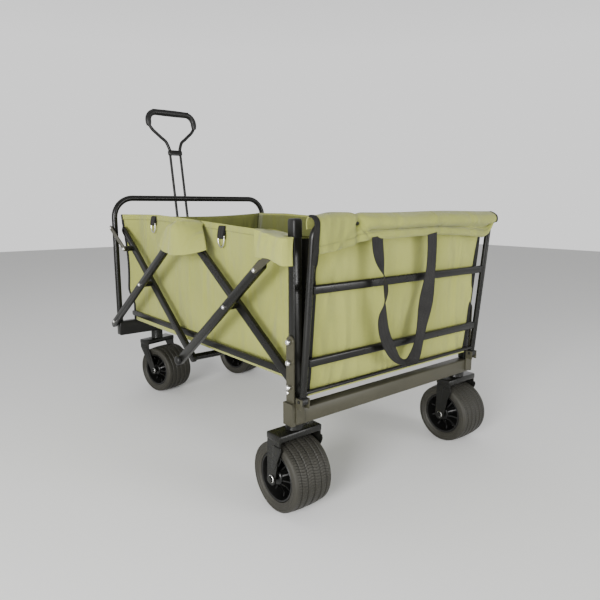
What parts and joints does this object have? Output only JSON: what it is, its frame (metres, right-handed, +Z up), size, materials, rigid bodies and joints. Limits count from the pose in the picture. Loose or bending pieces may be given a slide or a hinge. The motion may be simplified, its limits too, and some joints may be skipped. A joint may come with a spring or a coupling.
{
  "type": "wagon with pull handle",
  "caption": "Folding wagon with a fabric basket, scissor-jointed tube sides, a drop tailgate, wide wheels, front casters, a push bar and a telescoping pull handle.",
  "frame": {"origin": "on the ground under the middle of the whole object, with the handle extended", "axes": "+X runs from the tailgate towards the pull handle, +Y to the wagon's left side, +Z up"},
  "size_m": [1.1519, 0.672, 0.9656],
  "materials": {
    "black_steel": "semi-gloss powder coat",
    "dark_steel": "satin powder coat",
    "tyre": "matt moulded tread",
    "rim": "moulded",
    "black_plastic": "fine texture",
    "canvas": "woven polyester canvas",
    "webbing": "ribbed woven webbing",
    "bright_steel": "zinc plated"
  },
  "bodies": {
    "root": {"rear_beam": "dark_steel", "rear_post_left": "black_steel", "rear_post_right": "black_steel", "rear_bracket_left": "dark_steel", "rear_bracket_right": "dark_steel", "tailgate_hinge_left": "dark_steel", "tailgate_hinge_right": "dark_steel", "rear_fork_left": "black_steel", "rear_fork_right": "black_steel", "side_panel_left": "canvas", "side_panel_right": "canvas", "corner_pocket_left": "canvas", "corner_pocket_right": "canvas", "floor_panel": "canvas"},
    "rear_risers": {"rear_riser_left": "black_steel", "rear_riser_right": "black_steel"},
    "apex": {"apex_pocket_left": "canvas", "apex_pocket_right": "canvas"},
    "front_risers": {"front_riser_left": "black_steel", "front_riser_right": "black_steel"},
    "front_frame": {"hoop": "black_steel", "front_beam": "black_steel", "front_panel": "canvas", "handle_bracket": "dark_steel"},
    "rear_struts": {"rear_strut_left": "black_steel", "rear_strut_right": "black_steel", "centre_cross_tube": "black_steel"},
    "front_struts": {"front_strut_left": "black_steel", "front_strut_right": "black_steel"},
    "rear_links": {"rear_link_left": "dark_steel", "rear_link_right": "dark_steel"},
    "front_links": {"front_link_left": "dark_steel", "front_link_right": "dark_steel"},
    "rear_rails": {"rear_rail_left": "black_steel", "rear_rail_right": "black_steel"},
    "front_rails": {"front_rail_left": "black_steel", "front_rail_right": "black_steel"},
    "tailgate": {"tailgate_frame": "black_steel", "tailgate_bar_upper": "black_steel", "tailgate_bar_lower": "black_steel", "tailgate_foot_left": "black_plastic", "tailgate_foot_right": "black_plastic", "tailgate_panel": "canvas", "tailgate_flap": "canvas", "carry_strap": "webbing"},
    "handle": {"handle_sleeves": "black_steel"},
    "handle_top": {"handle_rods": "black_steel", "handle_loop": "black_plastic", "handle_grip": "black_plastic"},
    "caster_left": {"caster_fork_left": "black_steel"},
    "front_wheel_left": {"front_tyre_left": "tyre", "front_rim_left": "rim"},
    "rear_wheel_left": {"rear_tyre_left": "tyre", "rear_rim_left": "rim"},
    "caster_right": {"caster_fork_right": "black_steel"},
    "front_wheel_right": {"front_tyre_right": "tyre", "front_rim_right": "rim"},
    "rear_wheel_right": {"rear_tyre_right": "tyre", "rear_rim_right": "rim"}
  },
  "joints": [
    {"name": "fold", "type": "hinge", "parent": "root", "child": "rear_risers", "pos_m": [-0.4955, 0, 0.2535], "axis": [0, -1, 0], "range_deg": [0, 45.5], "deforming": ["side_panel_left", "side_panel_right", "floor_panel"]},
    {"name": "apex_level", "type": "hinge", "parent": "rear_risers", "child": "apex", "pos_m": [-0.05, 0, 0.55], "axis": [0, -1, 0], "range_deg": [-45.5, 0]},
    {"name": "front_riser_fold", "type": "hinge", "parent": "rear_risers", "child": "front_risers", "pos_m": [-0.05, 0, 0.55], "axis": [0, -1, 0], "range_deg": [-91, 0]},
    {"name": "front_frame_level", "type": "hinge", "parent": "front_risers", "child": "front_frame", "pos_m": [0.3955, 0, 0.2535], "axis": [0, -1, 0], "range_deg": [0, 45.5]},
    {"name": "rear_strut_cross", "type": "hinge", "parent": "rear_risers", "child": "rear_struts", "pos_m": [-0.27943, 0, 0.3973], "axis": [0, -1, 0], "range_deg": [-88.03, 0]},
    {"name": "front_strut_cross", "type": "hinge", "parent": "front_risers", "child": "front_struts", "pos_m": [0.17943, 0, 0.3973], "axis": [0, -1, 0], "range_deg": [0, 88.03]},
    {"name": "rear_link_swing", "type": "hinge", "parent": "root", "child": "rear_links", "pos_m": [-0.5055, 0, 0.5517], "axis": [0, -1, 0], "range_deg": [0, 105.46]},
    {"name": "front_link_swing", "type": "hinge", "parent": "front_frame", "child": "front_links", "pos_m": [0.4055, 0, 0.5517], "axis": [0, -1, 0], "range_deg": [-105.46, 0]},
    {"name": "rear_rail_fold", "type": "hinge", "parent": "root", "child": "rear_rails", "pos_m": [-0.4915, 0, 0.275], "axis": [0, -1, 0], "range_deg": [0, 77.34]},
    {"name": "front_rail_fold", "type": "hinge", "parent": "front_frame", "child": "front_rails", "pos_m": [0.3915, 0, 0.275], "axis": [0, -1, 0], "range_deg": [-77.34, 0]},
    {"name": "tailgate_drop", "type": "hinge", "parent": "root", "child": "tailgate", "pos_m": [-0.5295, 0, 0.243], "axis": [0, -1, 0], "range_deg": [0, 85]},
    {"name": "handle_tilt", "type": "hinge", "parent": "front_frame", "child": "handle", "pos_m": [0.4355, 0, 0.22], "axis": [0, 1, 0], "range_deg": [-10, 60]},
    {"name": "handle_telescope", "type": "slide", "parent": "handle", "child": "handle_top", "axis": [0.1736, 0, 0.9848], "range_m": [-0.24, 0]},
    {"name": "caster_left_swivel", "type": "hinge", "parent": "front_frame", "child": "caster_left", "pos_m": [0.4195, 0.154, 0.175], "axis": [0, 0, 1], "continuous": true},
    {"name": "front_wheel_left_spin", "type": "hinge", "parent": "caster_left", "child": "front_wheel_left", "pos_m": [0.37875, 0.14384, 0.0756], "axis": [-0.2419, 0.9703, 0], "continuous": true},
    {"name": "rear_wheel_left_spin", "type": "hinge", "parent": "root", "child": "rear_wheel_left", "pos_m": [-0.4841, 0.2765, 0.0756], "axis": [0, 1, 0], "continuous": true},
    {"name": "caster_right_swivel", "type": "hinge", "parent": "front_frame", "child": "caster_right", "pos_m": [0.4195, -0.154, 0.175], "axis": [0, 0, 1], "continuous": true},
    {"name": "front_wheel_right_spin", "type": "hinge", "parent": "caster_right", "child": "front_wheel_right", "pos_m": [0.37875, -0.16416, 0.0756], "axis": [-0.2419, 0.9703, 0], "continuous": true},
    {"name": "rear_wheel_right_spin", "type": "hinge", "parent": "root", "child": "rear_wheel_right", "pos_m": [-0.4841, -0.2765, 0.0756], "axis": [0, 1, 0], "continuous": true}
  ],
  "couplings": [
    {"joint": "apex_level", "follows": "fold", "ratio": -1},
    {"joint": "front_riser_fold", "follows": "fold", "ratio": -2},
    {"joint": "front_frame_level", "follows": "fold", "ratio": 1},
    {"joint": "rear_strut_cross", "follows": "fold", "ratio": -1.9348},
    {"joint": "front_strut_cross", "follows": "fold", "ratio": 1.9348},
    {"joint": "rear_link_swing", "follows": "fold", "ratio": 2.3178},
    {"joint": "front_link_swing", "follows": "fold", "ratio": -2.3178},
    {"joint": "rear_rail_fold", "follows": "fold", "ratio": 1.6997},
    {"joint": "front_rail_fold", "follows": "fold", "ratio": -1.6997}
  ]
}
